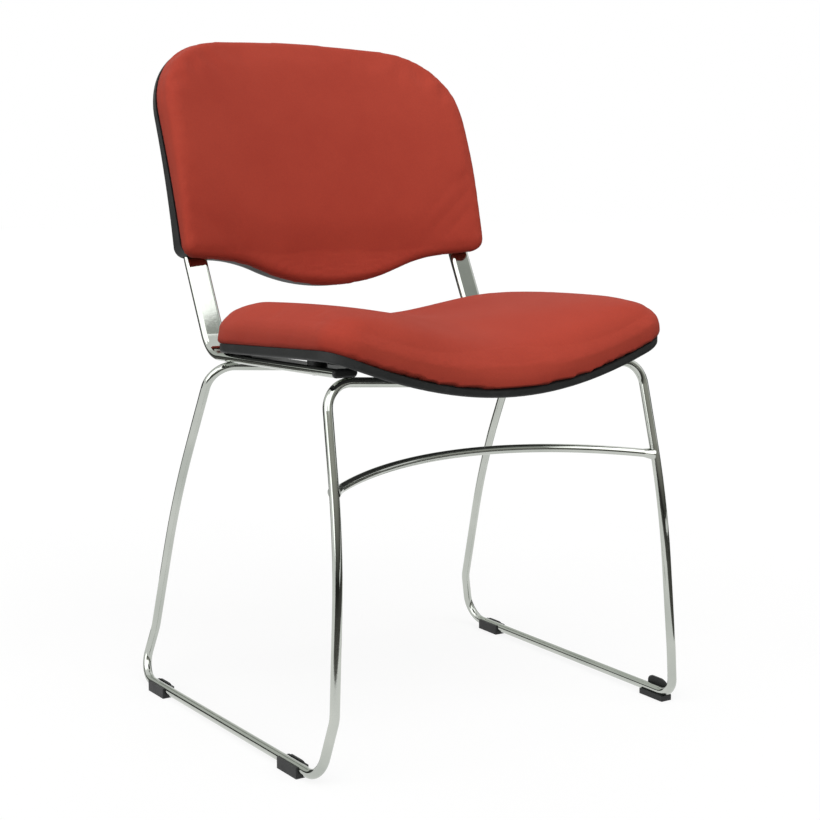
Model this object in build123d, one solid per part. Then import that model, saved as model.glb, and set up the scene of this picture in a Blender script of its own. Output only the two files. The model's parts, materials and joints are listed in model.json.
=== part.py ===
from build123d import *
import math
import os

# Millimetres. X runs across the chair, Y from front to rear and Z up from the floor.
# Everything is modelled about the middle of the runners, then moved to the middle of the chair.

# Sled rod, right side
ROD_DIA = 11.0
FRONT_ROD_Y = -182.0
REAR_ROD_Y = 69.0
FRONT_ROD_HALF = 218.0
REAR_ROD_HALF = 226.0
ROD_BOW = 10.5
ROD_LEVEL_HALF = 60.0
ROD_BOW_RADIUS = 400.0
ROD_CORNER_RADIUS = 30.0
LEG_BEND_DROP = 170.0
FRONT_LEG_BEND = (226.0, -220.0)
REAR_LEG_BEND = (234.3, 156.0)
LEG_BEND_RADIUS = 800.0
KINK_HEIGHT = 74.0
FRONT_KINK = (237.0, -228.0)
REAR_KINK = (242.5, 208.0)
KINK_RADIUS = 50.0
RUNNER_FRONT = (250.0, -218.8)
RUNNER_REAR = (258.0, 218.8)
RUNNER_RADIUS = 28.0

# Stretcher between the front legs
STRETCHER_DIA = 10.0
STRETCHER_HEIGHT = 311.0
STRETCHER_SETBACK = 73.0
STRETCHER_RISE = 12.5
WELD_WIDTH = 15.0
WELD_LENGTH = 9.0

# Glides clipped under the runners
GLIDE_PAD = 4.0
GLIDE_WIDTH = 16.0
GLIDE_LENGTH = 42.0
FRONT_LEFT_GLIDE_Y = -162.0
FRONT_RIGHT_GLIDE_Y = -187.0
REAR_GLIDE_Y = 163.0
GLIDE_WALL = 3.5
GLIDE_LOW_WALL = -3.0
GLIDE_EAR = 5.0
GLIDE_TALL_EAR = 13.0
GLIDE_EAR_FRONT_ROUND = 19.0
GLIDE_EAR_REAR_ROUND = 7.0
GLIDE_CLEARANCE = 0.15
GLIDE_ROUND = 1.0

# Flat oval tubes, under the seat and up to the back
TUBE_WIDTH = 30.0
TUBE_THICK = 10.0
TUBE_WALL = 1.5
TUBE_X = 197.5
TUBE_FRONT_Y = -186.0
TUBE_HEIGHT = 432.5
TUBE_TILT = 1.0
TUBE_FOOT_Y = 110.0
TUBE_BEND_RADIUS = 40.0
TUBE_ENTRY = 5.0
TUBE_ENTRY_RADIUS = 150.0
TUBE_END = 100.0
TUBE_CLEARANCE = 0.5
WELD_GAP = 0.1

# Plugs in the front ends of the tubes
PLUG_DEPTH = 12.0
PLUG_CAP = 4.0
PLUG_ROUND = 3.0
PLUG_CLEARANCE = 0.1

# Seat
SEAT_WIDTH = 458.0
SEAT_FRONT = -226.5
SEAT_FRONT_BOW = 7.5
SEAT_FRONT_CORNER = 36.0
SEAT_SIDE_END = 83.0
SEAT_REAR = 114.0
SEAT_REAR_CORNER = 80.0
SEAT_EDGE_HEIGHT = 449.8
SEAT_SLOPE = 0.043
SEAT_HOLLOW = 12.7
SEAT_FALL = 40.5
SEAT_FALL_START = 30.0
SEAT_FALL_POWER = 5
SEAT_BOLSTER = 46.0
SEAT_BOLSTER_X = 211.0
SEAT_BOLSTER_RISE = 0.022
SEAT_BOLSTER_ARCH = 4.4
SEAT_MIDDLE = 36.0
SEAT_ROLL = 6.2
SEAT_ROLL_POWER = 8
SEAT_TOP_ROUND = 28.0
SEAT_SEAM_ROUND = 5.0
SEAT_BULGE = 3.0

# Seat pan
PAN_LIP = 11.0
PAN_DEPTH = 8.0
PAN_WALL = 3.0
PAN_GROW = 1.0
PAN_ROUND = 3.0
PAN_PAD_DIA = 22.0

# Back, in its own leaning frame: x across, y up along the back, z towards the sitter
BACK_Y = 152.5
BACK_Z = 544.0
BACK_RAKE = 20.0
BACK_WIDTH = 440.0
BACK_HEIGHT = 297.5
BACK_CROWN_RADIUS = 840.0
BACK_TOP_CORNER = 106.0
BACK_LOW_CORNER = 12.0
BACK_LOBE = 30.0
BACK_LOBE_HALF = 168.0
BACK_LOBE_TURN = 0.62
BACK_LOBE_SETBACK = 7.0
BACK_TAPER = 13.0
BACK_BELLY = 12.0
BACK_HOLLOW = 26.0
BACK_PAD = 24.0
BACK_PAD_CROWN = 3.0
BACK_FOOT_THIN = 3.0
BACK_FOOT_POWER = 4
BACK_TOP_ROUND = 10.0
BACK_SEAM_ROUND = 4.0
BACK_BULGE = 2.0

# Back shell
SHELL_DEPTH = 27.0
SHELL_WALL = 2.5
SHELL_GROW = 2.5
SHELL_RISE = 5.5
SHELL_ROUND = 12.0

# Upholstery
COVER_THICK = 1.5
BOARD_THICK = 9.0
HEM = 16.0
LAYER_GAP = 0.2

# Bolts and tee nuts that hold the boards to the tubes
BOLT_DIA = 6.0
BOLT_HEAD_DIA = 12.0
BOLT_HEAD_HEIGHT = 1.6
BOLT_HEAD_ROUND = 1.2
BOLT_TIP = 1.0
BOLT_CLEARANCE = 0.3
NUT_FLANGE_DIA = 18.0
NUT_FLANGE_THICK = 1.5
NUT_BARREL_DIA = 8.0
NUT_BARREL_LENGTH = 7.0
NUT_SINK = 1.0
NUT_CLEARANCE = 0.1
HOLE_REACH = 30.0
SEAT_BOLT_Y = (-130.0, 45.0)
BACK_BOLT_SHARES = (0.18, 0.76)

# Screws that hold the pan and the shell to the boards
SCREW_DIA = 4.0
SCREW_HEAD_DIA = 8.0
SCREW_HEAD_HEIGHT = 2.5
SCREW_BITE = 6.0
SCREW_CLEARANCE = 0.1
BOSS_DIA = 13.0
PAN_SCREW_X = 95.0
PAN_SCREW_Y = (-110.0, 40.0)
SHELL_SCREW_X = 95.0
SHELL_SCREW_Y = (30.0, 215.0)

# Formula surfaces
SURFACE_POINTS = 21
SURFACE_MARGIN = 25.0
SURFACE_TOLERANCE = 0.1
BLOCK_DEPTH = 300.0
RIM_TILT = 0.5

ROD_RADIUS = ROD_DIA / 2
RUNNER_Z = GLIDE_PAD + ROD_RADIUS
TUBE_HALF = TUBE_THICK / 2
BACK = Plane(
    origin=(0, BACK_Y, BACK_Z),
    x_dir=(1, 0, 0),
    z_dir=(0, -math.cos(math.radians(BACK_RAKE)), math.sin(math.radians(BACK_RAKE))),
)


# Heights and formulas


def tube_z(y):
    """Height of the flat tube's middle under the seat."""
    return TUBE_HEIGHT - math.tan(math.radians(TUBE_TILT)) * (y - FRONT_ROD_Y)


def corner_z(y, half, bend):
    """Height of a cross rod's corner point, so that the bend's crest carries the flat tube."""
    before = Vector(ROD_LEVEL_HALF, y, -ROD_BOW)
    corner = Vector(half, y, 0)
    after = Vector(bend[0], bend[1], -LEG_BEND_DROP)
    along = (corner - before).normalized()
    turn = math.radians(along.get_angle(after - corner))
    tangent = ROD_CORNER_RADIUS * math.tan(turn / 2)
    crest = ROD_CORNER_RADIUS * (1 - math.cos(math.asin(along.Z))) - tangent * along.Z
    return tube_z(y) - TUBE_HALF - WELD_GAP - ROD_RADIUS - crest


def seat_edge(y):
    """Height of the seat's side edge, where fabric meets pan."""
    return SEAT_EDGE_HEIGHT - SEAT_SLOPE * y


def seat_base(x, y):
    """Underside of the seat's upholstery: hollow across, and falling away at the front."""
    reach = max(0.0, (SEAT_FALL_START - y) / (SEAT_FALL_START - SEAT_FRONT))
    hollow = SEAT_HOLLOW + SEAT_FALL * reach**SEAT_FALL_POWER
    return seat_edge(y) - hollow * (1 - (2 * x / SEAT_WIDTH) ** 2)


def seat_roll(x, y):
    """How far the bolsters arch from front to rear and roll down towards the seat's edges."""
    across = 2 * x / SEAT_WIDTH
    along = (2 * y - SEAT_FRONT - SEAT_REAR) / (SEAT_REAR - SEAT_FRONT)
    return SEAT_ROLL * (across**SEAT_ROLL_POWER + along**SEAT_ROLL_POWER) + SEAT_BOLSTER_ARCH * along**2


def seat_top(x, y):
    """Sitting face: a dished middle between two raised bolsters that roll off to the edges."""
    middle = seat_base(0, y) + SEAT_MIDDLE
    middle_y = (SEAT_FRONT + SEAT_REAR) / 2
    crest = seat_edge(y) + SEAT_BOLSTER + SEAT_BOLSTER_RISE * (y - middle_y) - seat_roll(x, y)
    share = abs(x) / SEAT_BOLSTER_X
    return middle + (crest - middle) * (3 * share**2 - 2 * share**3)


def back_form(x, y):
    """The back's main curve: bellied upwards, hollow across and deeper so towards the lobe."""
    belly = 4 * BACK_BELLY * y * (BACK_HEIGHT - y) / BACK_HEIGHT**2
    hollow = BACK_HOLLOW + BACK_LOBE_SETBACK * (1 - y / BACK_HEIGHT) ** BACK_FOOT_POWER
    return belly - hollow * (1 - (2 * x / BACK_WIDTH) ** 2)


def back_base(x, y):
    """Rear of the back's upholstery, which gets deeper towards the top."""
    share = y / BACK_HEIGHT
    return back_form(x, y) - BACK_TAPER * share * (2 - share)


def back_top(x, y):
    """Leaning face of the back, a little crowned over its foam and thinner towards its foot."""
    swell = 1 - (2 * y / BACK_HEIGHT - 1) ** 2
    crown = BACK_PAD_CROWN * swell * (1 - (2 * x / BACK_WIDTH) ** 2)
    thinned = BACK_FOOT_THIN * (1 - y / BACK_HEIGHT) ** BACK_FOOT_POWER
    return back_form(x, y) + BACK_PAD + crown - thinned


def shell_depth(x, y):
    """Depth of the shell's floor behind the upholstery."""
    return SHELL_DEPTH - back_form(x, y) + back_base(x, y)


# Padded panels


class Panel:
    """An outline with formulas for its underside and its face."""

    def __init__(self, outline, base, top, middle):
        self.outline = outline
        self.base = base
        self.top = top
        self.middle = middle
        box = outline.bounding_box()
        self.low = (box.min.X - SURFACE_MARGIN, box.min.Y - SURFACE_MARGIN)
        self.high = (box.max.X + SURFACE_MARGIN, box.max.Y + SURFACE_MARGIN)

    def under(self, height, shift):
        """Everything below a formula surface that is moved by shift."""
        steps = [i / (SURFACE_POINTS - 1) for i in range(SURFACE_POINTS)]
        xs = [self.low[0] + (self.high[0] - self.low[0]) * s for s in steps]
        ys = [self.low[1] + (self.high[1] - self.low[1]) * s for s in steps]
        points = [[Vector(x, y, height(x, y) + shift) for y in ys] for x in xs]
        face = Face.make_surface_from_array_of_points(points, tol=SURFACE_TOLERANCE)
        return Solid.extrude(face, Vector(0, 0, -BLOCK_DEPTH))

    def prism(self, grow):
        """The outline, grown by an offset, as an upright block."""
        outline = offset(self.outline, amount=grow)
        return extrude(Pos(0, 0, self.middle) * outline, amount=BLOCK_DEPTH / 2, both=True)

    def slab(self, grow, low, high):
        """A layer from low to high above the underside."""
        return self.prism(grow) & self.under(self.base, high) - self.under(self.base, low)

    def cushion(self, grow, inset, top_round, seam_round):
        """The whole padded form, drawn in by inset on all sides."""
        form = self.prism(grow - inset) & self.under(self.top, -inset)
        form -= self.under(self.base, inset)
        form = fillet(rim(form, 1), top_round - inset)
        return fillet(rim(form, -1), seam_round - inset)

    def upholster(self, grow, top_round, seam_round):
        """Cover, board and foam of the panel. The cover is hemmed under the board."""
        cover = self.cushion(grow, 0, top_round, seam_round)
        cover -= self.cushion(grow, COVER_THICK, top_round, seam_round)
        cover -= self.slab(-HEM, -COVER_THICK, COVER_THICK + LAYER_GAP)
        filling = self.cushion(grow, COVER_THICK + LAYER_GAP, top_round, seam_round)
        board_top = COVER_THICK + LAYER_GAP + BOARD_THICK
        board = filling & self.under(self.base, board_top)
        foam = filling - self.under(self.base, board_top + LAYER_GAP)
        return cover, board, foam


def rim(shape, side):
    """Edges round the largest face that looks up (side 1) or down (side -1)."""
    faces = [f for f in shape.faces() if f.normal_at().Z * side > RIM_TILT]
    return max(faces, key=lambda f: f.area).edges()


def seat_outline():
    """Plan of the seat where fabric meets pan."""
    half = SEAT_WIDTH / 2
    corner = SEAT_FRONT + SEAT_FRONT_BOW
    with BuildSketch() as sketch:
        with BuildLine():
            ThreePointArc((-half, corner), (0, SEAT_FRONT), (half, corner))
            Line((half, corner), (half, SEAT_SIDE_END))
            ThreePointArc((half, SEAT_SIDE_END), (0, SEAT_REAR), (-half, SEAT_SIDE_END))
            Line((-half, SEAT_SIDE_END), (-half, corner))
        make_face()
        fillet(sketch.vertices().sort_by(Axis.Y)[:2], SEAT_FRONT_CORNER)
        fillet(sketch.vertices().sort_by(Axis.Y)[-2:], SEAT_REAR_CORNER)
    return sketch.sketch


def back_outline(low):
    """Front view of the back: round top corners and a lobe hanging in the middle of its lower edge."""
    half = BACK_WIDTH / 2
    shoulder = BACK_HEIGHT - BACK_CROWN_RADIUS + math.sqrt(BACK_CROWN_RADIUS**2 - half**2)
    turn_x = BACK_LOBE_HALF * BACK_LOBE_TURN
    turn_y = low - BACK_LOBE * (1 - BACK_LOBE_TURN)
    slope = 2 * math.atan(BACK_LOBE / BACK_LOBE_HALF)
    rising = (math.cos(slope), math.sin(slope))
    with BuildSketch() as sketch:
        with BuildLine():
            ThreePointArc((-turn_x, turn_y), (0, low - BACK_LOBE), (turn_x, turn_y))
            TangentArc((turn_x, turn_y), (BACK_LOBE_HALF, low), tangent=rising)
            Line((BACK_LOBE_HALF, low), (half, low))
            Line((half, low), (half, shoulder))
            ThreePointArc((half, shoulder), (0, BACK_HEIGHT), (-half, shoulder))
            Line((-half, shoulder), (-half, low))
            Line((-half, low), (-BACK_LOBE_HALF, low))
            TangentArc((-turn_x, turn_y), (-BACK_LOBE_HALF, low), tangent=(-rising[0], rising[1]))
        make_face()
        fillet(sketch.vertices().sort_by(Axis.Y)[-2:], BACK_TOP_CORNER)
        feet = sorted(sketch.vertices(), key=lambda v: v.Y - abs(v.X))
        fillet(feet[:2], BACK_LOW_CORNER)
    return sketch.sketch


# Metal frame


def rod_along(path, diameter):
    """A round rod along a path."""
    return sweep(Plane(path @ 0, z_dir=path % 0) * Circle(diameter / 2), path=path)


def sled_points():
    """Corner points of the right half ring, from the front middle round to the rear middle."""
    front = corner_z(FRONT_ROD_Y, FRONT_ROD_HALF, FRONT_LEG_BEND)
    rear = corner_z(REAR_ROD_Y, REAR_ROD_HALF, REAR_LEG_BEND)
    return [
        Vector(0, FRONT_ROD_Y, front - ROD_BOW),
        Vector(ROD_LEVEL_HALF, FRONT_ROD_Y, front - ROD_BOW),
        Vector(FRONT_ROD_HALF, FRONT_ROD_Y, front),
        Vector(*FRONT_LEG_BEND, front - LEG_BEND_DROP),
        Vector(*FRONT_KINK, KINK_HEIGHT),
        Vector(*RUNNER_FRONT, RUNNER_Z),
        Vector(*RUNNER_REAR, RUNNER_Z),
        Vector(*REAR_KINK, KINK_HEIGHT),
        Vector(*REAR_LEG_BEND, rear - LEG_BEND_DROP),
        Vector(REAR_ROD_HALF, REAR_ROD_Y, rear),
        Vector(ROD_LEVEL_HALF, REAR_ROD_Y, rear - ROD_BOW),
        Vector(0, REAR_ROD_Y, rear - ROD_BOW),
    ]


def sled_path():
    """Centre line of the right half ring."""
    half_radii = [ROD_BOW_RADIUS, ROD_CORNER_RADIUS, LEG_BEND_RADIUS, KINK_RADIUS, RUNNER_RADIUS]
    return FilletPolyline(*sled_points(), radius=half_radii + half_radii[::-1])


def stretcher(rods):
    """Bowed rod between the front legs, coped to them, with a weld flare at each end."""
    points = sled_points()
    top, bend = points[2], points[3]
    right = top + (bend - top) * ((top.Z - STRETCHER_HEIGHT) / LEG_BEND_DROP)
    left = Vector(-right.X, right.Y, right.Z)
    middle = Vector(0, right.Y + STRETCHER_SETBACK, right.Z + STRETCHER_RISE)
    path = ThreePointArc(left, middle, right)
    bar = rod_along(path, STRETCHER_DIA)
    length = ROD_RADIUS + WELD_LENGTH
    for end, along in ((left, path % 0), (right, -(path % 1))):
        flare = Cone(WELD_WIDTH / 2, STRETCHER_DIA / 2, length, align=(Align.CENTER, Align.CENTER, Align.MIN))
        bar += Plane(end, z_dir=along) * flare
    for rod in rods:
        bar -= rod
    return bar


def tube_points():
    """Corner points of the right flat tube, from its front end to its end in the back."""

    def behind_board(y):
        z = back_base(TUBE_X - TUBE_WIDTH / 2, y) - TUBE_CLEARANCE - TUBE_HALF
        return BACK.from_local_coords(Vector(TUBE_X, y, z))

    return [
        Vector(TUBE_X, TUBE_FRONT_Y, tube_z(TUBE_FRONT_Y)),
        Vector(TUBE_X, TUBE_FOOT_Y, tube_z(TUBE_FOOT_Y)),
        behind_board(TUBE_ENTRY),
        behind_board(TUBE_END),
    ]


def tube_path():
    """Centre line of the right flat tube."""
    return FilletPolyline(*tube_points(), radius=[TUBE_BEND_RADIUS, TUBE_ENTRY_RADIUS])


def oval(grow):
    """Section of the flat tube, grown by an offset."""
    return SlotOverall(TUBE_WIDTH + 2 * grow, TUBE_THICK + 2 * grow)


def tube_front():
    """Plane across the front end of the right flat tube, looking forwards."""
    points = tube_points()
    return Plane(points[0], x_dir=(1, 0, 0), z_dir=points[0] - points[1])


def flat_tube(grow):
    """The right flat tube as a solid bar, grown by an offset."""
    path = tube_path()
    start = Plane(path @ 0, x_dir=(1, 0, 0), z_dir=path % 0)
    return sweep(start * oval(grow), path=path)


def tube_plug():
    """Plug in the front end of the right flat tube."""
    front = tube_front()
    cap = extrude(front * oval(0), amount=PLUG_CAP)
    cap = fillet(cap.faces().sort_by(Axis.Y)[0].edges(), PLUG_ROUND)
    return cap + extrude(front * oval(-TUBE_WALL - PLUG_CLEARANCE), amount=-PLUG_DEPTH)


def glide(y, wall, ear, ear_side):
    """A clip under the right runner with a wall and an ear, whose heights count from the rod's middle."""
    points = sled_points()
    start, end = points[5], points[6]
    along = (end - start).normalized()
    place = start + along * ((y - start.Y) / along.Y)
    section = Plane(Vector(place.X, place.Y, 0), x_dir=along.cross(Vector(0, 0, 1)), z_dir=-along)
    ear_width = GLIDE_WIDTH / 2 - ROD_RADIUS
    body = Pos(0, (RUNNER_Z + wall) / 2) * Rectangle(GLIDE_WIDTH, RUNNER_Z + wall)
    body = extrude(section * body, amount=GLIDE_LENGTH / 2, both=True)
    body = fillet(body.edges().filter_by(Axis.Z), GLIDE_ROUND)
    ear_x = ear_side * (GLIDE_WIDTH - ear_width) / 2
    hump = Pos(ear_x, (RUNNER_Z + ear) / 2) * Rectangle(ear_width, RUNNER_Z + ear)
    hump = extrude(section * hump, amount=GLIDE_LENGTH / 2 - GLIDE_ROUND, both=True)
    for end, radius in ((0, GLIDE_EAR_FRONT_ROUND), (-1, GLIDE_EAR_REAR_ROUND)):
        ends = hump.edges().group_by(Axis.Z)[-1].filter_by(lambda e: e.length < 2 * ear_width)
        hump = fillet(ends.sort_by(Axis.Y)[end], min(radius, RUNNER_Z + ear - GLIDE_ROUND))
    return body + hump - rod_along(sled_path(), ROD_DIA + 2 * GLIDE_CLEARANCE)


# Fasteners


def pin(plane, diameter, low, high):
    """A round bar on a plane's axis, from low to high."""
    bar = Cylinder(diameter / 2, high - low, align=(Align.CENTER, Align.CENTER, Align.MIN))
    return plane * Pos(0, 0, low) * bar


def bolt(plane, reach):
    """Domed bolt through a tube. The plane lies in the tube's middle and reach is the board's far face."""
    head = Cylinder(BOLT_HEAD_DIA / 2, BOLT_HEAD_HEIGHT, align=(Align.CENTER, Align.CENTER, Align.MAX))
    head = fillet(head.edges().sort_by(Axis.Z)[0], BOLT_HEAD_ROUND)
    return plane * Pos(0, 0, -TUBE_HALF) * head + pin(plane, BOLT_DIA, -TUBE_HALF, reach + BOLT_TIP)


def tee_nut(plane, reach):
    """Flanged nut sunk in the board's far face."""
    seat = reach - NUT_SINK
    nut = pin(plane, NUT_FLANGE_DIA, seat, seat + NUT_FLANGE_THICK)
    nut += pin(plane, NUT_BARREL_DIA, seat - NUT_BARREL_LENGTH, seat)
    return nut - pin(plane, BOLT_DIA + 2 * NUT_CLEARANCE, seat - HOLE_REACH, reach + HOLE_REACH)


def bolt_hole(plane, reach):
    """Room for a bolt's shank."""
    return pin(plane, BOLT_DIA + 2 * BOLT_CLEARANCE, -HOLE_REACH, reach + HOLE_REACH)


def nut_room(plane, reach):
    """Room for a tee nut in a board and in the foam over it."""
    seat = reach - NUT_SINK
    room = pin(plane, NUT_FLANGE_DIA + 2 * NUT_CLEARANCE, seat, seat + NUT_FLANGE_THICK + 2 * BOLT_TIP)
    return room + pin(plane, NUT_BARREL_DIA + 2 * NUT_CLEARANCE, seat - HOLE_REACH, seat)


def seat_bolt_places():
    """Planes on the flat tubes under the seat, each with the height of the board's face over it."""
    places = []
    lean = math.radians(TUBE_TILT)
    for side in (-1, 1):
        for y in SEAT_BOLT_Y:
            plane = Plane((side * TUBE_X, y, tube_z(y)), z_dir=(0, math.sin(lean), math.cos(lean)))
            face = seat_base(TUBE_X, y) + COVER_THICK + LAYER_GAP + BOARD_THICK
            places.append((plane, face - tube_z(y)))
    return places


def back_bolt_places():
    """Planes on the flat tubes in the back, each with the depth of the board's face over it."""
    places = []
    foot, end = tube_points()[2:]
    along = (end - foot).normalized()
    for side in (-1, 1):
        for share in BACK_BOLT_SHARES:
            spot = foot + (end - foot) * share
            local = BACK.to_local_coords(spot)
            face = back_base(TUBE_X, local.Y) + COVER_THICK + LAYER_GAP + BOARD_THICK
            plane = Plane((side * spot.X, spot.Y, spot.Z), z_dir=(0, -along.Z, along.Y))
            places.append((plane, face - local.Z))
    return places


def screw(x, y, base, depth):
    """Screw from a plastic floor, depth below the underside, up into the board."""
    plane = Plane((x, y, base(x, y)))
    neck = SCREW_HEAD_HEIGHT - depth
    shank = pin(plane, SCREW_DIA, neck, COVER_THICK + SCREW_BITE)
    return shank + pin(plane, SCREW_HEAD_DIA, -depth, neck)


def screw_room(x, y, base, depth):
    """Room for a screw in floor, boss and board."""
    plane = Plane((x, y, base(x, y)))
    gap = 2 * SCREW_CLEARANCE
    neck = SCREW_HEAD_HEIGHT - depth
    room = pin(plane, SCREW_DIA + gap, neck, COVER_THICK + SCREW_BITE + gap)
    return room + pin(plane, SCREW_HEAD_DIA + gap, -depth - SCREW_HEAD_HEIGHT, neck)


def boss(panel, x, y, depth):
    """Post on a plastic floor that the board rests on."""
    plane = Plane((x, y, panel.base(x, y)))
    post = pin(plane, BOSS_DIA, SHELL_WALL / 2 - depth, PAN_LIP)
    return post & panel.under(panel.base, COVER_THICK)


# Plastic pan and shell


def seat_pan(panel, places, screws, tubes):
    """Tray under the seat: a lip, a floor, pads on the tubes and posts for its screws."""
    pan = panel.slab(PAN_GROW, -PAN_LIP, -LAYER_GAP)
    pan = fillet(rim(pan, -1), PAN_ROUND)
    pan -= panel.slab(PAN_GROW - PAN_WALL, -PAN_LIP - PAN_DEPTH, -PAN_DEPTH)
    pan -= panel.slab(PAN_GROW - PAN_WALL, PAN_WALL - PAN_DEPTH, PAN_DEPTH)
    for tube in tubes:
        pan -= tube
    for x, y in screws:
        pan += boss(panel, x, y, PAN_DEPTH)
    for plane, reach in places:
        pad = pin(plane, PAN_PAD_DIA, TUBE_HALF + WELD_GAP, reach)
        pan += pad & panel.under(panel.base, -LAYER_GAP)
        pan -= bolt_hole(plane, reach)
    for x, y in screws:
        pan -= screw_room(x, y, panel.base, PAN_DEPTH)
    return pan


def back_shell(panel, screws, tubes):
    """Shell behind the back, in the back's own frame, notched where the tubes come in."""
    shell = panel.prism(SHELL_GROW) & panel.under(back_base, -LAYER_GAP)
    shell -= panel.under(back_form, -SHELL_DEPTH)
    shell = fillet(rim(shell, -1), SHELL_ROUND)
    room = panel.prism(SHELL_GROW - SHELL_WALL) & panel.under(back_form, SHELL_DEPTH)
    room -= panel.under(back_form, SHELL_WALL - SHELL_DEPTH)
    shell -= fillet(rim(room, -1), SHELL_ROUND - SHELL_WALL)
    for x, y in screws:
        shell += boss(panel, x, y, shell_depth(x, y))
        shell -= screw_room(x, y, panel.base, shell_depth(x, y))
    for tube in tubes:
        shell -= BACK.location.inverse() * tube
    return shell


# Whole chair


def build_chair():
    """All nodes, about the middle of the runners."""
    nodes = {}
    right_rod = rod_along(sled_path(), ROD_DIA)
    nodes["right_sled_rod"] = right_rod
    nodes["left_sled_rod"] = mirror(right_rod, about=Plane.YZ)
    nodes["front_stretcher"] = stretcher([nodes["right_sled_rod"], nodes["left_sled_rod"]])

    plug = tube_plug()
    nodes["right_tube_plug"] = plug
    nodes["left_tube_plug"] = mirror(plug, about=Plane.YZ)
    nodes["front_right_glide"] = glide(FRONT_RIGHT_GLIDE_Y, GLIDE_LOW_WALL, GLIDE_TALL_EAR, 1)
    nodes["rear_right_glide"] = glide(REAR_GLIDE_Y, GLIDE_WALL, GLIDE_EAR, 1)
    for end, y in (("front", FRONT_LEFT_GLIDE_Y), ("rear", REAR_GLIDE_Y)):
        nodes[end + "_left_glide"] = mirror(glide(y, GLIDE_WALL, GLIDE_EAR, -1), about=Plane.YZ)

    seat_places = seat_bolt_places()
    back_places = back_bolt_places()
    tube = flat_tube(0) - flat_tube(-TUBE_WALL)
    for plane, reach in seat_places + back_places:
        tube -= bolt_hole(plane, reach)
    nodes["right_back_upright"] = tube
    nodes["left_back_upright"] = mirror(tube, about=Plane.YZ)
    room = flat_tube(TUBE_CLEARANCE)
    tube_rooms = [room, mirror(room, about=Plane.YZ)]

    seat = Panel(seat_outline(), seat_base, seat_top, SEAT_EDGE_HEIGHT)
    pan_screws = [(x, y) for x in (-PAN_SCREW_X, PAN_SCREW_X) for y in PAN_SCREW_Y]
    cover, board, foam = seat.upholster(SEAT_BULGE, SEAT_TOP_ROUND, SEAT_SEAM_ROUND)
    for plane, reach in seat_places:
        board -= nut_room(plane, reach)
        foam -= nut_room(plane, reach)
    for x, y in pan_screws:
        board -= screw_room(x, y, seat_base, PAN_DEPTH)
    nodes["seat_cover"] = cover
    nodes["seat_board"] = board
    nodes["seat_foam"] = foam
    nodes["seat_pan"] = seat_pan(seat, seat_places, pan_screws, tube_rooms)
    nodes["seat_bolts"] = Compound([bolt(*p).solid() for p in seat_places])
    nodes["seat_tee_nuts"] = Compound([tee_nut(*p).solid() for p in seat_places])
    nodes["seat_pan_screws"] = Compound([screw(x, y, seat_base, PAN_DEPTH).solid() for x, y in pan_screws])

    back = Panel(back_outline(0), back_base, back_top, 0)
    shell = Panel(back_outline(SHELL_RISE), back_base, back_top, 0)
    shell_screws = [(x, y) for x in (-SHELL_SCREW_X, SHELL_SCREW_X) for y in SHELL_SCREW_Y]
    cover, board, foam = back.upholster(BACK_BULGE, BACK_TOP_ROUND, BACK_SEAM_ROUND)
    for x, y in shell_screws:
        board -= screw_room(x, y, back_base, shell_depth(x, y))
    board = BACK.location * board
    foam = BACK.location * foam
    for plane, reach in back_places:
        board -= nut_room(plane, reach)
        foam -= nut_room(plane, reach)
    nodes["back_cover"] = BACK.location * cover
    nodes["back_board"] = board
    nodes["back_foam"] = foam
    nodes["back_shell"] = BACK.location * back_shell(shell, shell_screws, tube_rooms)
    nodes["back_bolts"] = Compound([bolt(*p).solid() for p in back_places])
    nodes["back_tee_nuts"] = Compound([tee_nut(*p).solid() for p in back_places])
    screws = [screw(x, y, back_base, shell_depth(x, y)).solid() for x, y in shell_screws]
    nodes["back_shell_screws"] = BACK.location * Compound(screws)
    return nodes


def write_chair(nodes):
    """One file for each node, with the origin on the floor under the middle of the chair."""
    boxes = [shape.bounding_box() for shape in nodes.values()]
    middle = (min(b.min.Y for b in boxes) + max(b.max.Y for b in boxes)) / 2
    os.makedirs("parts", exist_ok=True)
    for name, shape in nodes.items():
        export_step(Pos(0, -middle, 0) * shape, f"parts/{name}.step")
    print("moved forward by", round(middle, 2))


write_chair(build_chair())
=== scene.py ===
import bpy
import json
import math
import numpy as np
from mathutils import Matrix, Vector


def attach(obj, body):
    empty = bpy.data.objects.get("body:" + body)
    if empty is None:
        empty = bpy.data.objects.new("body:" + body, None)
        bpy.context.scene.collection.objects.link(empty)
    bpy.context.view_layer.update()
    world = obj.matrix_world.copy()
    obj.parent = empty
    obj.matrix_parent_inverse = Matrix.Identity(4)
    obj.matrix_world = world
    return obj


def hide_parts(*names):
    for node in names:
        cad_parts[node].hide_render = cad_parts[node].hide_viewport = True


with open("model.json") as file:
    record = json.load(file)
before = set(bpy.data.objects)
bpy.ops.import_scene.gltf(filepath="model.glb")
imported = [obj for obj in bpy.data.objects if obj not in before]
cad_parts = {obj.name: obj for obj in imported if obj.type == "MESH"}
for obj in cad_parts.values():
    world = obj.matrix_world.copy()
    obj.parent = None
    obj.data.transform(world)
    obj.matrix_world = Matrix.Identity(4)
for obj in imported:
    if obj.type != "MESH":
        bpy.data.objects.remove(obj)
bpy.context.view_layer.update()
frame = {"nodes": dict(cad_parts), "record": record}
NODES = frame["nodes"]
SCENE = bpy.context.scene
MM_PER_M = 1000

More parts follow.
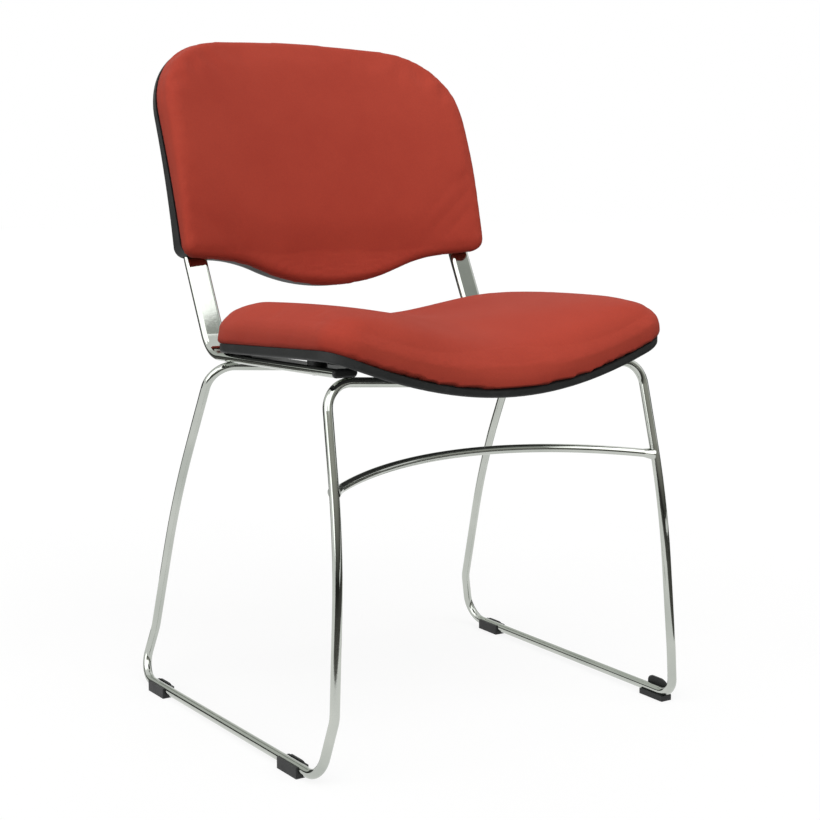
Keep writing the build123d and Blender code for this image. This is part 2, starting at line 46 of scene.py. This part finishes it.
# Sizes of the upholstery in millimetres, with y counted from the middle of the runners
SHIFT = 33.36
SEAT = dict(
    # Outline, as in the part's source
    width=458.0, front=-226.5, bow=7.5, front_corner=36.0, side_end=83.0, rear=114.0, rear_corner=80.0,
    # Underside and face, as in the part's source
    edge=449.8, slope=0.043, hollow=12.7, fall=40.5, fall_start=30.0, fall_power=5, middle=36.0,
    bolster=46.0, bolster_x=211.0, bolster_rise=0.022, bolster_arch=4.4, roll=6.2, roll_power=8,
    # Rounding of the edge, partly the scene's own
    bulge=3.5, top_round=28.0, rear_round=20.0, rear_lean=3.0, seam_round=3.5,
    # Heights above the underside up to which the fabric is fastened, and from which it is free
    seam=(9, 20),
)
BACK = dict(
    # Place and outline, as in the part's source
    y=152.5, z=544.0, rake=20.0, width=440.0, height=297.5, crown_radius=840.0, top_corner=106.0,
    low_corner=12.0, lobe=30.0, lobe_half=168.0, lobe_turn=0.62,
    # Underside and face, as in the part's source
    lobe_setback=7.0, taper=13.0, belly=12.0, hollow=26.0, pad=24.0, pad_crown=3.0, foot_thin=3.0,
    foot_power=4,
    # Rounding of the edge, as in the part's source
    bulge=2.0, top_round=10.0, rear_round=0.0, rear_lean=0.0, seam_round=4.0,
    # Heights above the underside up to which the fabric is fastened, and from which it is free
    seam=(5, 12),
)

# Hem under the board: its width, the rise inside it, the width of that step, and where the flat rows end
HEM = 16.0
HEM_RISE = 1.6
HEM_STEP = 1.0
HEM_CLEAR = 4.0

# Reach of the rounder rear corners, and of the painted shade that darkens the fabric above the seam
REAR_REACH = 80.0
PAINTED_SEAM_SHADE_REACH = 16.0

# Pull marks above the seam: depth, counts round the piece, heights, and the lengths they fade over
MARK_DEPTH = 0.15
MARKS = 37
FINE_MARKS = 61
FINE_SHARE = 0.6
MARK_LOW = 2
MARK_HIGH = 18
MARK_FADE_IN = 4
MARK_FADE_OUT = 10

# Points and rows of the padded forms
RING_STEP = 5
ARC_STEP = 4
LEAST_SIDE = 0.5
CENTRE_SHARE = 0.02
RIM_SHARE = 0.96
UNDER_ROWS = 16
SEAM_ROWS = 4
SIDE_SHARES = (0.33, 0.67)
EDGE_ROWS = 9
FACE_ROWS = 36

# How far a form is drawn in before it swells
INSET = 1.0

# Mesh of the swelling fabric and its farthest swell, in metres, and the length of the simulation
VOXEL = 0.005
SWELL_LIMIT = 0.003
SWELL_FRAMES = 20

# Steps in which the hold at the seam fades, and how much farther up the exact form is kept
SEAM_STEPS = 8
SEAM_FADE = 1.6

# Weave of the fabric in metres: thread pitch, and how far a thread strays
THREAD_PITCH = 0.0017
THREAD_STRAY = 0.0012

# Studio in metres: floor, and the ring of dark strips round a point left of the chair's middle
FLOOR_HALF = 30
STRIP_HEIGHT = 0.002
RING_MIDDLE = (-0.2, 0.0)
RING_RADIUS = 2.85
RING_FOOT = 0.12
BAND_POINTS = 40

# Levels of light: the strips, the floor's own, the sky on the chair from low to high, and the sky as seen
DARK = 0.03
FLOOR_LIFT = 0.81
SKY_LOW = 0.30
SKY_HIGH = 0.57
SKY_SEEN = 1.0

# Camera of the photograph: place in metres, degrees down and to the right, lens and picture in pixels
CAMERA_PLACE = (-1.0265, -1.5618 - SHIFT / MM_PER_M, 0.6131)
CAMERA_DOWN = 7.79
CAMERA_RIGHT = 33.53
FOCAL_PIXELS = 1539.76
PHOTO_PIXELS = 820
SENSOR_MM = 36


# Formulas of the padded faces

def seat_base(x, y):
    s = SEAT
    reach = np.maximum(0.0, (s["fall_start"] - y) / (s["fall_start"] - s["front"]))
    hollow = s["hollow"] + s["fall"] * reach ** s["fall_power"]
    return s["edge"] - s["slope"] * y - hollow * (1 - (2 * x / s["width"]) ** 2)


def seat_top(x, y):
    s = SEAT
    middle = seat_base(0 * x, y) + s["middle"]
    across = 2 * x / s["width"]
    along = (2 * y - s["front"] - s["rear"]) / (s["rear"] - s["front"])
    crest = s["edge"] - s["slope"] * y + s["bolster"] + s["bolster_rise"] * (y - (s["front"] + s["rear"]) / 2)
    crest = crest - s["roll"] * (across ** s["roll_power"] + along ** s["roll_power"])
    crest = crest - s["bolster_arch"] * along**2
    share = np.abs(x) / s["bolster_x"]
    return middle + (crest - middle) * (3 * share**2 - 2 * share**3)


def back_form(x, y):
    b = BACK
    belly = 4 * b["belly"] * y * (b["height"] - y) / b["height"] ** 2
    hollow = b["hollow"] + b["lobe_setback"] * (1 - y / b["height"]) ** b["foot_power"]
    return belly - hollow * (1 - (2 * x / b["width"]) ** 2)


def back_base(x, y):
    share = y / BACK["height"]
    return back_form(x, y) - BACK["taper"] * share * (2 - share)


def back_top(x, y):
    b = BACK
    swell = 1 - (2 * y / b["height"] - 1) ** 2
    crown = b["pad_crown"] * swell * (1 - (2 * x / b["width"]) ** 2)
    return back_form(x, y) + b["pad"] + crown - b["foot_thin"] * (1 - y / b["height"]) ** b["foot_power"]


# From local millimetres to the frame's metres, and back

def seat_place(p):
    return (p - [0, SHIFT, 0]) / MM_PER_M


def seat_local(co):
    return co * MM_PER_M + [0, SHIFT, 0]


def back_place(p):
    lean = math.radians(BACK["rake"])
    y = BACK["y"] - SHIFT + p[:, 1] * math.sin(lean) - p[:, 2] * math.cos(lean)
    z = BACK["z"] + p[:, 1] * math.cos(lean) + p[:, 2] * math.sin(lean)
    return np.c_[p[:, 0], y, z] / MM_PER_M


def back_local(co):
    lean = math.radians(BACK["rake"])
    y = co[:, 1] * MM_PER_M - BACK["y"] + SHIFT
    z = co[:, 2] * MM_PER_M - BACK["z"]
    along = y * math.sin(lean) + z * math.cos(lean)
    out = z * math.sin(lean) - y * math.cos(lean)
    return np.c_[co[:, 0] * MM_PER_M, along, out]


# Outlines, as closed rings of points

def arc(x, y, radius, start, end):
    turns = np.linspace(start, end, max(3, int(abs(end - start) * radius / ARC_STEP) + 1))
    return np.c_[x + radius * np.cos(turns), y + radius * np.sin(turns)]


def corner_in(half, corner, radius, y, way):
    """Height and turn of a corner that touches the side and, above or below its middle, a large arc."""
    corner_y = y + way * math.sqrt((radius - corner) ** 2 - (half - corner) ** 2)
    return corner_y, math.atan2(corner_y - y, half - corner)


def mirrored_ring(arcs):
    """The right half's arcs and their mirror image, as points an even step apart."""
    right = np.concatenate(arcs)
    ring = np.r_[right, right[::-1] * [-1, 1]]
    closed = np.r_[ring, ring[:1]]
    keep = np.r_[True, np.linalg.norm(np.diff(closed, axis=0), axis=1) > 1e-6]
    closed = closed[keep]
    run = np.r_[0, np.cumsum(np.linalg.norm(np.diff(closed, axis=0), axis=1))]
    at = np.linspace(0, run[-1], int(run[-1] / RING_STEP) + 1)[:-1]
    return np.c_[np.interp(at, run, closed[:, 0]), np.interp(at, run, closed[:, 1])]


def seat_ring():
    s = SEAT
    half = s["width"] / 2
    front_radius = (half**2 + s["bow"] ** 2) / (2 * s["bow"])
    rise = s["rear"] - s["side_end"]
    rear_radius = (half**2 + rise**2) / (2 * rise)
    front_y = s["front"] + front_radius
    rear_y = s["rear"] - rear_radius
    front, rear = s["front_corner"], s["rear_corner"]
    front_corner_y, front_turn = corner_in(half, front, front_radius, front_y, -1)
    rear_corner_y, rear_turn = corner_in(half, rear, rear_radius, rear_y, 1)
    return mirrored_ring([
        arc(0, front_y, front_radius, -math.pi / 2, front_turn),
        arc(half - front, front_corner_y, front, front_turn, 0),
        arc(half - rear, rear_corner_y, rear, 0, rear_turn),
        arc(0, rear_y, rear_radius, rear_turn, math.pi / 2),
    ])


def back_ring():
    b = BACK
    half = b["width"] / 2
    crown_y = b["height"] - b["crown_radius"]
    top, low = b["top_corner"], b["low_corner"]
    top_y, top_turn = corner_in(half, top, b["crown_radius"], crown_y, 1)
    bend = 2 * math.atan(b["lobe"] / b["lobe_half"])
    lobe_radius = b["lobe_half"] * b["lobe_turn"] / math.sin(bend)
    flank_radius = b["lobe_half"] / math.sin(bend) - lobe_radius
    return mirrored_ring([
        arc(0, lobe_radius - b["lobe"], lobe_radius, -math.pi / 2, bend - math.pi / 2),
        arc(b["lobe_half"], -flank_radius, flank_radius, math.pi / 2 + bend, math.pi / 2),
        arc(half - low, low, low, -math.pi / 2, 0),
        arc(half - top, top_y, top, 0, top_turn),
        arc(0, crown_y, b["crown_radius"], top_turn, math.pi / 2),
    ])


# Meshes

def new_piece(name, points, faces):
    mesh = bpy.data.meshes.new(name)
    mesh.from_pydata(points, [], faces)
    mesh.validate()
    mesh.update()
    piece = bpy.data.objects.new(name, mesh)
    SCENE.collection.objects.link(piece)
    return piece


def cushion_mesh(name, spec, ring, base, top, place, inset):
    """A closed padded form from an outline, its underside and its face, all drawn in by the inset."""
    tangent = np.roll(ring, -1, 0) - np.roll(ring, 1, 0)
    normal = np.c_[tangent[:, 1], -tangent[:, 0]] / np.linalg.norm(tangent, axis=1)[:, None]
    rear = np.clip(ring[:, 1] / REAR_REACH, 0, 1) * (2 * ring[:, 0] / spec["width"]) ** 2
    edge = ring + normal * (spec["bulge"] - inset)
    centre = np.array([0.0, (edge[:, 1].min() + edge[:, 1].max()) / 2])
    wall = top(edge[:, 0], edge[:, 1]) - base(edge[:, 0], edge[:, 1]) - 2 * inset
    seam = spec["seam_round"]
    drop = np.minimum(spec["top_round"], wall - seam - LEAST_SIDE)
    depth = spec["top_round"] + spec["rear_round"] * rear
    lean = spec["rear_lean"] * rear
    rows = []

    def inward(distance):
        return edge - normal * np.reshape(distance, (-1, 1))

    def row(p, height):
        rows.append(np.c_[p, height(p[:, 0], p[:, 1])])

    def under(x, y):
        return base(x, y) + inset

    def hem(x, y):
        return base(x, y) + HEM_RISE + inset

    for share in np.linspace(CENTRE_SHARE, RIM_SHARE, UNDER_ROWS):
        row(centre + (inward(HEM + HEM_CLEAR) - centre) * share, hem)
    row(inward(HEM + HEM_STEP), hem)
    row(inward(HEM), under)
    row(inward((HEM + seam) / 2), under)
    for a in np.linspace(0, math.pi / 2, SEAM_ROWS):
        row(inward(seam * (1 - math.sin(a))), lambda x, y: under(x, y) + seam * (1 - math.cos(a)))
    low = rows[-1][:, 2].copy()
    high = top(edge[:, 0], edge[:, 1]) - inset - drop
    for share in SIDE_SHARES:
        rows.append(np.c_[inward(lean * share**2), low + (high - low) * share])
    for a in np.linspace(0, math.pi / 2, EDGE_ROWS):
        row(inward(lean + depth * (1 - math.cos(a))),
            lambda x, y: top(x, y) - inset - drop * (1 - math.sin(a)))
    for share in np.linspace(RIM_SHARE, CENTRE_SHARE, FACE_ROWS):
        row(centre + (inward(lean + depth) - centre) * share, lambda x, y: top(x, y) - inset)

    n = len(edge)
    last = (len(rows) - 1) * n
    faces = []
    for i in range(0, last, n):
        for k in range(n):
            j = (k + 1) % n
            faces.append((i + k, i + j, i + n + j, i + n + k))
    faces.append(tuple(range(n))[::-1])
    faces.append(tuple(last + k for k in range(n)))
    return new_piece(name, [tuple(p) for p in place(np.concatenate(rows))], faces)


def points_of(mesh):
    co = np.zeros(len(mesh.vertices) * 3)
    mesh.vertices.foreach_get("co", co)
    return co.reshape(-1, 3)


def move_points(piece, points):
    piece.data.vertices.foreach_set("co", points.ravel())
    piece.data.update()


def add_weights(piece, name, weights):
    """Gives the piece a vertex group with these weights."""
    group = piece.vertex_groups.new(name=name)
    for value in np.unique(weights):
        group.add([int(i) for i in np.nonzero(weights == value)[0]], float(value), "REPLACE")


def apply(piece, kind, **settings):
    """Changes the piece's mesh by one modifier."""
    mod = piece.modifiers.new(kind.lower(), kind)
    for key, value in settings.items():
        setattr(mod, key, value)
    graph = bpy.context.evaluated_depsgraph_get()
    mesh = bpy.data.meshes.new_from_object(piece.evaluated_get(graph))
    piece.modifiers.remove(mod)
    piece.data = mesh


def inflate(piece, held):
    """Lets the fabric swell over its foam. held gives 1 where it is fastened and 0 where it is free."""
    start = points_of(piece.data)
    add_weights(piece, "held", held)
    mod = piece.modifiers.new("cloth", "CLOTH")
    cloth = mod.settings
    cloth.quality = 6
    cloth.mass = 0.3
    cloth.tension_stiffness = 25
    cloth.compression_stiffness = 25
    cloth.shear_stiffness = 10
    cloth.bending_stiffness = 3
    cloth.use_pressure = True
    cloth.uniform_pressure_force = 4
    cloth.vertex_group_mass = "held"
    cloth.effector_weights.gravity = 0
    mod.collision_settings.use_collision = False
    for number in range(1, SWELL_FRAMES + 1):
        SCENE.frame_set(number)
    graph = bpy.context.evaluated_depsgraph_get()
    moved = points_of(piece.evaluated_get(graph).data) - start
    piece.modifiers.remove(mod)
    SCENE.frame_set(1)
    reach = np.linalg.norm(moved, axis=1)
    moved *= np.minimum(1, SWELL_LIMIT / np.maximum(reach, 1e-9))[:, None]
    move_points(piece, start + moved)
    piece.vertex_groups.clear()


# Materials

class Nodes:
    """A small helper for building a material's nodes."""

    def __init__(self, name):
        self.material = bpy.data.materials.new(name)
        self.material.use_nodes = True
        self.tree = self.material.node_tree
        self.shader = self.tree.nodes["Principled BSDF"]

    def add(self, kind, inputs=None, **settings):
        node = self.tree.nodes.new(kind)
        for key, value in settings.items():
            setattr(node, key, value)
        for key, value in (inputs or {}).items():
            self.put(node.inputs[key], value)
        return node

    def put(self, socket, value):
        if isinstance(value, bpy.types.NodeSocket):
            self.tree.links.new(value, socket)
        else:
            socket.default_value = value

    def set(self, **values):
        for key, value in values.items():
            self.put(self.shader.inputs[key.replace("_", " ")], value)

    def where(self):
        return self.add("ShaderNodeTexCoord").outputs["Object"]

    def attribute(self, name):
        return self.add("ShaderNodeAttribute", attribute_name=name).outputs["Fac"]

    def parts(self, vector):
        return self.add("ShaderNodeSeparateXYZ", {"Vector": vector}).outputs

    def noise(self, where, scale, detail, rough=0.5):
        inputs = {"Vector": where, "Scale": scale, "Detail": detail, "Roughness": rough}
        return self.add("ShaderNodeTexNoise", inputs).outputs["Fac"]

    def cells(self, where, scale):
        return self.add("ShaderNodeTexVoronoi", {"Vector": where, "Scale": scale}).outputs["Distance"]

    def math(self, operation, a, b=0.0):
        return self.add("ShaderNodeMath", {0: a, 1: b}, operation=operation).outputs[0]

    def total(self, *terms):
        """The sum of values, each times its weight."""
        result = None
        for value, weight in terms:
            term = self.math("MULTIPLY", value, weight)
            result = term if result is None else self.math("ADD", result, term)
        return result

    def span(self, value, low, high, to=(0.0, 1.0)):
        inputs = {"Value": value, "From Min": low, "From Max": high, "To Min": to[0], "To Max": to[1]}
        return self.add("ShaderNodeMapRange", inputs).outputs[0]

    def ramp(self, value, dark, light):
        """A colour between two. The mix node's colours are its inputs 6 and 7 and its output 2."""
        inputs = {0: value, 6: (*dark, 1), 7: (*light, 1)}
        return self.add("ShaderNodeMix", inputs, data_type="RGBA").outputs[2]

    def bump(self, height, strength, distance):
        inputs = {"Height": height, "Strength": strength, "Distance": distance}
        return self.add("ShaderNodeBump", inputs).outputs["Normal"]


def weave(m, where):
    """Height of a plain weave, laid over the three main directions and mixed by the way the surface faces."""
    wobble = m.add("ShaderNodeTexNoise", {"Vector": where, "Scale": 90.0, "Detail": 2.0}).outputs["Color"]
    stray = {0: wobble, 1: (THREAD_STRAY,) * 3, 2: where}
    strayed = m.parts(m.add("ShaderNodeVectorMath", stray, operation="MULTIPLY_ADD").outputs[0])
    waves = [m.math("SINE", m.math("MULTIPLY", strayed[i], 2 * math.pi / THREAD_PITCH)) for i in range(3)]
    facing = m.parts(m.add("ShaderNodeNewGeometry").outputs["Normal"])
    terms = []
    for i in range(3):
        share = m.math("POWER", m.math("ABSOLUTE", facing[i]), 2.0)
        terms.append((m.math("MULTIPLY", waves[(i + 1) % 3], waves[(i + 2) % 3]), share))
    return m.span(m.total(*terms), -1.0, 1.0)


def fabric():
    """Woven upholstery, with painted shade that darkens its colour near the seam."""
    m = Nodes("red_weave")
    where = m.where()
    threads = weave(m, where)
    cloud = m.noise(where, scale=9.0, detail=4.0, rough=0.6)
    slub = m.noise(where, scale=420.0, detail=2.0, rough=0.6)
    # Painted shade: the attribute from the seam lowers the fabric's tone, so it gets darker towards the seam
    tone = m.total((threads, 0.35), (slub, 0.35), (cloud, 0.5), (m.attribute("painted_seam_shade"), -0.35))
    m.set(Base_Color=m.ramp(m.span(tone, 0.25, 0.95), dark=(0.36, 0.036, 0.020), light=(0.52, 0.070, 0.040)))
    m.set(Roughness=m.span(slub, 0.3, 0.7, to=(0.82, 0.95)), Specular_IOR_Level=0.25)
    m.set(Sheen_Weight=0.04, Sheen_Roughness=0.45, Sheen_Tint=(1.0, 0.62, 0.52, 1.0))
    m.set(Normal=m.bump(m.total((threads, 1.0), (slub, 0.7)), strength=0.35, distance=0.0004))
    return m.material


def chrome():
    """Bright plating, more scuffed near the floor."""
    m = Nodes("bright_chrome")
    where = m.where()
    cloud = m.noise(where, scale=14.0, detail=3.0)
    scuff = m.noise(where, scale=260.0, detail=4.0, rough=0.65)
    share = m.span(m.parts(where)["Z"], 0.015, 0.09, to=(0.92, 0.12))
    wear = m.math("MULTIPLY", m.span(scuff, 0.52, 0.72), share)
    m.set(Base_Color=m.ramp(m.span(cloud, 0.3, 0.7), dark=(0.44, 0.465, 0.43), light=(0.54, 0.56, 0.52)))
    m.set(Metallic=1.0, Roughness=m.total((m.span(cloud, 0.3, 0.7, to=(0.05, 0.09)), 1.0), (wear, 0.22)))
    m.set(Normal=m.bump(scuff, strength=0.04, distance=0.0002))
    return m.material


def plastic():
    m = Nodes("black_moulding")
    where = m.where()
    grain = m.cells(where, scale=900.0)
    fine = m.noise(where, scale=1400.0, detail=2.0)
    cloud = m.noise(where, scale=22.0, detail=4.0, rough=0.6)
    rub = m.span(m.noise(where, scale=60.0, detail=5.0, rough=0.7), 0.55, 0.75)
    tone = m.total((rub, 0.6), (cloud, 0.4))
    m.set(Base_Color=m.ramp(tone, dark=(0.012, 0.013, 0.013), light=(0.032, 0.034, 0.034)))
    m.set(Roughness=m.span(cloud, 0.3, 0.7, to=(0.42, 0.58)), Specular_IOR_Level=0.35)
    m.set(Normal=m.bump(m.total((grain, 1.0), (fine, 1.0)), strength=0.22, distance=0.0003))
    return m.material


def plywood():
    m = Nodes("raw_plywood")
    where = m.where()
    grain = {"Vector": where, "Scale": 30.0, "Distortion": 9.0, "Detail": 3.0}
    rings = m.add("ShaderNodeTexWave", grain).outputs["Fac"]
    fibre = m.noise(where, scale=240.0, detail=4.0, rough=0.6)
    tone = m.total((rings, 0.5), (fibre, 0.5))
    m.set(Base_Color=m.ramp(tone, dark=(0.40, 0.26, 0.13), light=(0.66, 0.49, 0.30)))
    m.set(Roughness=m.span(fibre, 0.3, 0.7, to=(0.6, 0.8)))
    m.set(Normal=m.bump(fibre, strength=0.2, distance=0.0004))
    return m.material


def zinc():
    m = Nodes("zinc_plate")
    where = m.where()
    spangle = m.cells(where, scale=420.0)
    cloud = m.noise(where, scale=300.0, detail=3.0)
    m.set(Base_Color=m.ramp(cloud, dark=(0.46, 0.47, 0.49), light=(0.64, 0.64, 0.63)))
    m.set(Metallic=1.0, Roughness=m.span(spangle, 0.0, 0.8, to=(0.26, 0.42)))
    m.set(Normal=m.bump(cloud, strength=0.08, distance=0.0002))
    return m.material


def paint(node, material):
    piece = NODES[node]
    if not piece.material_slots:
        piece.data.materials.append(material)
    for slot in piece.material_slots:
        slot.material = material


FABRIC = fabric()
FINISH = {
    "chrome": chrome(),
    "fabric": FABRIC,
    "black_plastic": plastic(),
    "foam": FABRIC,
    "plywood": plywood(),
    "zinc": zinc(),
}
for part in frame["record"]["subparts"]:
    paint(part["node"], FINISH[part["material_slot"]])


# Seat and back upholstery

def near_seam(rise, low, high):
    """1 up to low above the underside, 0 from high on, in a few steps."""
    share = np.clip((high - rise) / (high - low), 0, 1)
    return np.round(share * SEAM_STEPS) / SEAM_STEPS


def pucker(piece, rise):
    """Small pull marks in the fabric, just above the seam. The inner waves space them unevenly."""
    co = points_of(piece.data)
    turn = np.arctan2(co[:, 1] - co[:, 1].mean(), co[:, 0])
    coarse = np.sin(MARKS * turn + 1.3 * np.sin(5 * turn))
    fine = np.sin(FINE_MARKS * turn + 2.0 * np.sin(3 * turn + 1))
    fade = np.clip((rise - MARK_LOW) / MARK_FADE_IN, 0, 1)
    fade = fade * np.clip((MARK_HIGH - rise) / MARK_FADE_OUT, 0, 1)
    depth = (coarse + FINE_SHARE * fine) * fade * MARK_DEPTH / MM_PER_M
    normals = np.zeros(len(co) * 3)
    piece.data.vertex_normals.foreach_get("vector", normals)
    move_points(piece, co + normals.reshape(-1, 3) * depth[:, None])


def upholster(name, spec, ring, base, top, place, local):
    """The padded piece: swollen where it is free, and drawn back to its exact form along the seam."""
    held_to, free_from = spec["seam"]
    exact = cushion_mesh(name + "_form", spec, ring, base, top, place, 0.0)
    piece = cushion_mesh(name, spec, ring, base, top, place, INSET)

    def rise():
        """Heights of the piece's points above the underside."""
        p = local(points_of(piece.data))
        return p[:, 2] - base(p[:, 0], p[:, 1])

    apply(piece, "REMESH", mode="VOXEL", voxel_size=VOXEL, use_smooth_shade=True)
    inflate(piece, near_seam(rise(), held_to, free_from))
    apply(piece, "SMOOTH", factor=0.5, iterations=4)
    apply(piece, "SUBSURF", levels=1)
    add_weights(piece, "seam", near_seam(rise(), free_from, free_from * SEAM_FADE))
    apply(piece, "SHRINKWRAP", target=exact, vertex_group="seam")
    piece.vertex_groups.clear()
    bpy.data.objects.remove(exact)
    pucker(piece, rise())
    # Painted shade: the nearer a point lies to the seam, the darker its fabric colour is painted
    painted_seam_shade = np.clip((PAINTED_SEAM_SHADE_REACH - rise()) / PAINTED_SEAM_SHADE_REACH, 0, 1)
    piece.data.attributes.new("painted_seam_shade", "FLOAT", "POINT").data.foreach_set("value", painted_seam_shade)
    piece.data.materials.clear()
    piece.data.materials.append(FABRIC)
    piece.data.polygons.foreach_set("use_smooth", [True] * len(piece.data.polygons))
    piece.data.update()
    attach(piece, "root")
    return piece


seat = upholster("seat_upholstery", SEAT, seat_ring(), seat_base, seat_top, seat_place, seat_local)
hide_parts("seat_cover", "seat_foam")
back = upholster("back_upholstery", BACK, back_ring(), back_base, back_top, back_place, back_local)
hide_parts("back_cover", "back_foam")


# Studio

def shown_rays(tree):
    """1 for rays that see the background itself: from the camera, off gloss or through glass."""
    path = tree.nodes.new("ShaderNodeLightPath")
    total = path.outputs["Is Camera Ray"]
    for name in ("Is Glossy Ray", "Is Transmission Ray"):
        add = tree.nodes.new("ShaderNodeMath")
        add.operation = "MAXIMUM"
        tree.links.new(total, add.inputs[0])
        tree.links.new(path.outputs[name], add.inputs[1])
        total = add.outputs[0]
    return total


def staged(name, points, faces, material):
    piece = new_piece(name, points, faces)
    piece.data.materials.append(material)
    return piece


def floor():
    """A floor that looks nearly white but throws little light on the chair."""
    m = Nodes("pale_floor")
    cloud = m.noise(m.where(), scale=3.0, detail=2.0)
    m.set(Base_Color=m.ramp(cloud, dark=(0.21, 0.21, 0.21), light=(0.23, 0.23, 0.228)))
    m.set(Roughness=0.9, Specular_IOR_Level=0.0, Emission_Color=(1.0, 1.0, 1.0, 1.0))
    m.set(Emission_Strength=m.math("MULTIPLY", shown_rays(m.tree), FLOOR_LIFT))
    h = FLOOR_HALF
    staged("floor", [(-h, -h, 0), (h, -h, 0), (h, h, 0), (-h, h, 0)], [(0, 1, 2, 3)], m.material)


def glowing(name, colour):
    """Nodes of a black material that gives off light of its own."""
    m = Nodes(name)
    m.set(Base_Color=(0.0, 0.0, 0.0, 1.0), Roughness=1.0, Specular_IOR_Level=0.0)
    m.set(Emission_Color=(*colour, 1.0), Emission_Strength=1.0)
    return m


def only_reflected(piece):
    piece.visible_camera = False
    piece.visible_diffuse = False
    piece.visible_shadow = False
    piece.visible_transmission = False


def card(name, azimuth, width, low, high, distance, level):
    """A card round the chair that only shows in reflections. Azimuth counts from the front to the right."""
    m = glowing(name, (level * 0.97, level, level * 0.95))
    turn = math.radians(azimuth)
    out = Vector((math.sin(turn), -math.cos(turn), 0)) * distance
    side = Vector((math.cos(turn), math.sin(turn), 0)) * (width / 2)
    corners = [out + side * s + Vector((0, 0, z)) for s, z in ((-1, low), (1, low), (1, high), (-1, high))]
    only_reflected(staged(name, [tuple(c) for c in corners], [(0, 1, 2, 3)], m.material))


def band(name, near, far, start, end, near_level, far_level, middle=RING_MIDDLE):
    """A dark strip that only shows in reflections. near and far are the radius and height of its rims."""
    m = glowing(name, (1.0, 0.99, 0.90))
    m.set(Emission_Strength=m.span(m.attribute("share"), 0.0, 1.0, to=(near_level, far_level)))
    turns = np.radians(np.linspace(start, end, BAND_POINTS))
    points = [(r * math.sin(t), -r * math.cos(t), z) for r, z in (near, far) for t in turns]
    n = BAND_POINTS
    piece = staged(name, points, [(i, i + 1, n + i + 1, n + i) for i in range(n - 1)], m.material)
    piece.data.attributes.new("share", "FLOAT", "POINT").data.foreach_set("value", [0.0] * n + [1.0] * n)
    piece.location = (*middle, 0.0)
    only_reflected(piece)


def lamp(name, azimuth, elevation, strength, angle):
    light = bpy.data.lights.new(name, "SUN")
    light.energy = strength
    light.angle = math.radians(angle)
    piece = bpy.data.objects.new(name, light)
    turn, rise = math.radians(azimuth), math.radians(elevation)
    away = Vector((math.sin(turn) * math.cos(rise), -math.cos(turn) * math.cos(rise), math.sin(rise)))
    piece.rotation_euler = away.to_track_quat("Z", "Y").to_euler()
    SCENE.collection.objects.link(piece)


def sky():
    """A sky that looks white but lights the chair less, and least from low down."""
    world = bpy.data.worlds.new("studio")
    SCENE.world = world
    world.use_nodes = True
    tree = world.node_tree
    background = tree.nodes["Background"]
    background.inputs["Color"].default_value = (1.0, 1.0, 1.0, 1.0)
    height = tree.nodes.new("ShaderNodeSeparateXYZ")
    tree.links.new(tree.nodes.new("ShaderNodeTexCoord").outputs["Generated"], height.inputs["Vector"])
    glow = tree.nodes.new("ShaderNodeMapRange")
    glow.inputs["To Min"].default_value = SKY_LOW
    glow.inputs["To Max"].default_value = SKY_HIGH
    tree.links.new(height.outputs["Z"], glow.inputs["Value"])
    level = tree.nodes.new("ShaderNodeMapRange")
    tree.links.new(glow.outputs[0], level.inputs["To Min"])
    level.inputs["To Max"].default_value = SKY_SEEN
    tree.links.new(shown_rays(tree), level.inputs["Value"])
    tree.links.new(level.outputs[0], background.inputs["Strength"])


floor()
card("card_front_right", azimuth=33, width=2.4, low=0.6, high=3.4, distance=3.0, level=0.46)
card("card_right", azimuth=100, width=3.4, low=0.0, high=1.1, distance=3.0, level=0.05)
card("card_rear_left", azimuth=-158, width=4.0, low=0.0, high=0.9, distance=3.0, level=0.05)
card("card_rear", azimuth=180, width=7.0, low=0.9, high=5.0, distance=3.4, level=0.7)
card("card_rear_line", azimuth=180, width=0.9, low=1.6, high=3.0, distance=3.2, level=0.33)
band("dark_floor", near=(0.9, STRIP_HEIGHT), far=(RING_RADIUS, STRIP_HEIGHT), start=-72, end=100,
     near_level=0.10, far_level=DARK)
band("dark_floor_far", near=(RING_RADIUS, STRIP_HEIGHT), far=(7.0, STRIP_HEIGHT), start=-72, end=12,
     near_level=DARK, far_level=DARK)
band("dark_wall", near=(RING_RADIUS, RING_FOOT), far=(RING_RADIUS, 1.2), start=-62, end=50,
     near_level=DARK, far_level=0.55)
band("dark_wall_right", near=(RING_RADIUS, RING_FOOT), far=(RING_RADIUS, 0.55), start=50, end=80,
     near_level=DARK, far_level=0.25)
band("dark_floor_rear", near=(0.95, STRIP_HEIGHT), far=(3.0, STRIP_HEIGHT), start=-172, end=-142,
     near_level=0.08, far_level=0.2, middle=(0.0, 0.0))
lamp("key", azimuth=-5, elevation=48, strength=1.1, angle=60)
lamp("side", azimuth=-75, elevation=26, strength=1.2, angle=60)
sky()

# Camera at the photograph's place
camera = bpy.data.objects.new("camera", bpy.data.cameras.new("camera"))
SCENE.collection.objects.link(camera)
camera.location = CAMERA_PLACE
camera.rotation_euler = (math.radians(90 - CAMERA_DOWN), 0, math.radians(-CAMERA_RIGHT))
camera.data.sensor_width = SENSOR_MM
camera.data.lens = SENSOR_MM * FOCAL_PIXELS / PHOTO_PIXELS
SCENE.camera = camera
SCENE.view_settings.view_transform = "Standard"
